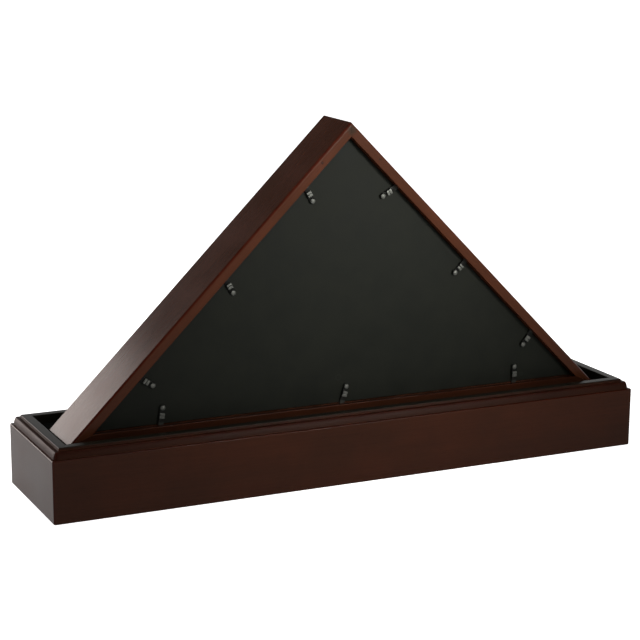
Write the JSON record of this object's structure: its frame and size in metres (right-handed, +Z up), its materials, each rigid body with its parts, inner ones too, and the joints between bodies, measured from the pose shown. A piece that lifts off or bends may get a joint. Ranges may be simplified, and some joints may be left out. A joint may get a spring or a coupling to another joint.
{
  "type": "folded flag display case",
  "caption": "Triangular wooden display case for a folded flag, with a glass front, a back panel held by turn buttons, and a long moulded pedestal with a recess.",
  "frame": {"origin": "on the floor under the pedestal's middle: the centre of the bottom of the bounding box", "axes": "+X to the right seen from the glass front, +Y to the back with the turn buttons, +Z up"},
  "size_m": [0.727, 0.161, 0.4063],
  "materials": {
    "mahogany": "satin lacquered dark mahogany",
    "pine": "planed, unfinished",
    "plywood": "sanded, unfinished",
    "panel_board": "black-faced hardboard, low sheen",
    "felt": "black felt",
    "glass": "clear float glass",
    "black_metal": "blackened steel, semi-gloss",
    "steel": "bright zinc"
  },
  "bodies": {
    "pedestal": {"base_board_back": "mahogany", "base_board_front": "mahogany", "base_board_right": "mahogany", "base_board_left": "mahogany", "cap_moulding_back": "mahogany", "cap_moulding_front": "mahogany", "cap_moulding_right": "mahogany", "cap_moulding_left": "mahogany", "recess_deck": "plywood", "recess_felt": "felt", "bottom_panel": "plywood", "deck_ledger_back": "pine", "deck_ledger_front": "pine", "glue_block_back_right": "pine", "glue_block_back_left": "pine", "glue_block_front_right": "pine", "glue_block_front_left": "pine", "bottom_screw_back_right": "steel", "bottom_screw_back_left": "steel", "bottom_screw_front_right": "steel", "bottom_screw_front_left": "steel", "felt_pad_back_right": "felt", "felt_pad_back_left": "felt", "felt_pad_front_right": "felt", "felt_pad_front_left": "felt"},
    "flag_case": {"rail_right": "mahogany", "rail_left": "mahogany", "rail_bottom": "mahogany", "glass_stop_right": "mahogany", "glass_stop_left": "mahogany", "glass_stop_bottom": "mahogany", "glass_pane": "glass", "mitre_nail_apex": "steel", "mitre_nail_foot_right": "steel", "mitre_nail_foot_left": "steel", "apex_pin_right": "steel", "apex_pin_left": "steel", "back_panel": "panel_board", "panel_lining": "felt", "rivet_right_1": "black_metal", "rivet_right_2": "black_metal", "rivet_right_3": "black_metal", "rivet_left_1": "black_metal", "rivet_left_2": "black_metal", "rivet_left_3": "black_metal", "rivet_bottom_1": "black_metal", "rivet_bottom_2": "black_metal", "rivet_bottom_3": "black_metal"},
    "button_right_1": {"turn_button_right_1": "black_metal"},
    "button_right_2": {"turn_button_right_2": "black_metal"},
    "button_right_3": {"turn_button_right_3": "black_metal"},
    "button_left_1": {"turn_button_left_1": "black_metal"},
    "button_left_2": {"turn_button_left_2": "black_metal"},
    "button_left_3": {"turn_button_left_3": "black_metal"},
    "button_bottom_1": {"turn_button_bottom_1": "black_metal"},
    "button_bottom_2": {"turn_button_bottom_2": "black_metal"},
    "button_bottom_3": {"turn_button_bottom_3": "black_metal"}
  },
  "joints": [
    {"name": "case_lift", "type": "slide", "parent": "pedestal", "child": "flag_case", "axis": [0, 0, 1], "range_m": [0, 0.12]},
    {"name": "button_turn_right_1", "type": "hinge", "parent": "flag_case", "child": "button_right_1", "pos_m": [0.04384, 0.0349, 0.31981], "axis": [0, 1, 0], "range_deg": [-90, 90]},
    {"name": "button_turn_right_2", "type": "hinge", "parent": "flag_case", "child": "button_right_2", "pos_m": [0.13965, 0.0349, 0.224], "axis": [0, 1, 0], "range_deg": [-90, 90]},
    {"name": "button_turn_right_3", "type": "hinge", "parent": "flag_case", "child": "button_right_3", "pos_m": [0.2349, 0.0349, 0.12875], "axis": [0, 1, 0], "range_deg": [-90, 90]},
    {"name": "button_turn_left_1", "type": "hinge", "parent": "flag_case", "child": "button_left_1", "pos_m": [-0.04384, 0.0349, 0.31981], "axis": [0, 1, 0], "range_deg": [-90, 90]},
    {"name": "button_turn_left_2", "type": "hinge", "parent": "flag_case", "child": "button_left_2", "pos_m": [-0.13965, 0.0349, 0.224], "axis": [0, 1, 0], "range_deg": [-90, 90]},
    {"name": "button_turn_left_3", "type": "hinge", "parent": "flag_case", "child": "button_left_3", "pos_m": [-0.2349, 0.0349, 0.12875], "axis": [0, 1, 0], "range_deg": [-90, 90]},
    {"name": "button_turn_bottom_1", "type": "hinge", "parent": "flag_case", "child": "button_bottom_1", "pos_m": [0.2237, 0.0349, 0.1023], "axis": [0, 1, 0], "range_deg": [-90, 90]},
    {"name": "button_turn_bottom_2", "type": "hinge", "parent": "flag_case", "child": "button_bottom_2", "pos_m": [0, 0.0349, 0.1023], "axis": [0, 1, 0], "range_deg": [-90, 90]},
    {"name": "button_turn_bottom_3", "type": "hinge", "parent": "flag_case", "child": "button_bottom_3", "pos_m": [-0.2237, 0.0349, 0.1023], "axis": [0, 1, 0], "range_deg": [-90, 90]}
  ]
}
